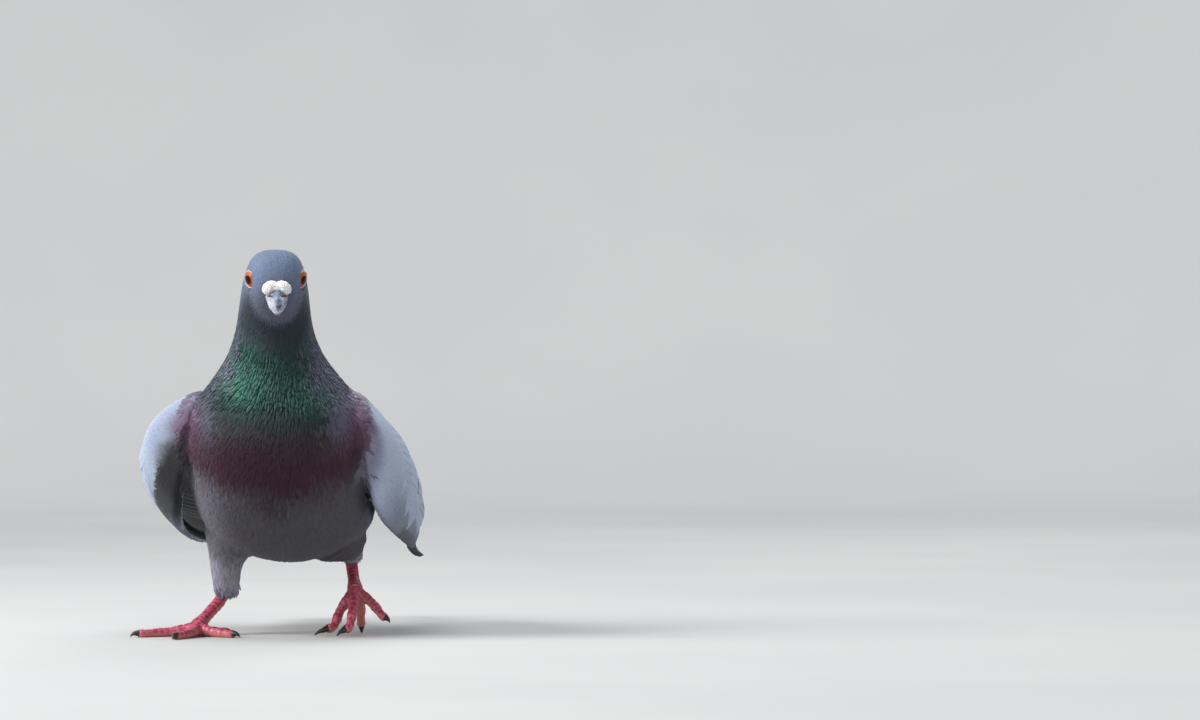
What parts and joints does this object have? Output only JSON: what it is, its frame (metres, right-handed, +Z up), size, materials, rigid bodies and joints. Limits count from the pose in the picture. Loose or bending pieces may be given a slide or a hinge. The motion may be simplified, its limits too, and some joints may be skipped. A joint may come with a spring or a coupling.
{
  "type": "pigeon",
  "caption": "Still, life-size feral pigeon walking, head up and facing ahead, one foot flat and the other raised on its claws.",
  "frame": {"origin": "middle of the model's box, on the floor that the feet stand on", "axes": "+Z up, the bird faces -Y, +X to the bird's left"},
  "size_m": [0.1656, 0.2804, 0.2133],
  "materials": {
    "head_feathers": "soft matt slate blue-grey feathers",
    "neck_feathers": "glossy green and purple iridescent feathers",
    "body_feathers": "soft matt grey feathers, wine red across the breast",
    "wing_feathers": "smooth pale silver grey vanes",
    "tail_feathers": "smooth grey vanes with a dark end band",
    "bill_horn": "satin dark horn, paler at the sides",
    "cere_skin": "powdery white skin",
    "eye": "wet gloss, orange iris and dark pupil",
    "leg_scales": "satin pink-red scutes",
    "claw_horn": "satin near-black horn"
  },
  "bodies": {
    "root": {"head": "head_feathers", "neck": "neck_feathers", "torso": "body_feathers", "tail": "tail_feathers", "bill_upper": "bill_horn", "bill_lower": "bill_horn", "cere": "cere_skin", "eye_right": "eye", "wing_right": "wing_feathers", "thigh_right": "body_feathers", "tarsus_right": "leg_scales", "toe_outer_right": "leg_scales", "claw_outer_right": "claw_horn", "toe_middle_right": "leg_scales", "claw_middle_right": "claw_horn", "toe_inner_right": "leg_scales", "claw_inner_right": "claw_horn", "toe_hind_right": "leg_scales", "claw_hind_right": "claw_horn", "eye_left": "eye", "wing_left": "wing_feathers", "thigh_left": "body_feathers", "tarsus_left": "leg_scales", "toe_outer_left": "leg_scales", "claw_outer_left": "claw_horn", "toe_middle_left": "leg_scales", "claw_middle_left": "claw_horn", "toe_inner_left": "leg_scales", "claw_inner_left": "claw_horn", "toe_hind_left": "leg_scales", "claw_hind_left": "claw_horn"}
  },
  "joints": []
}
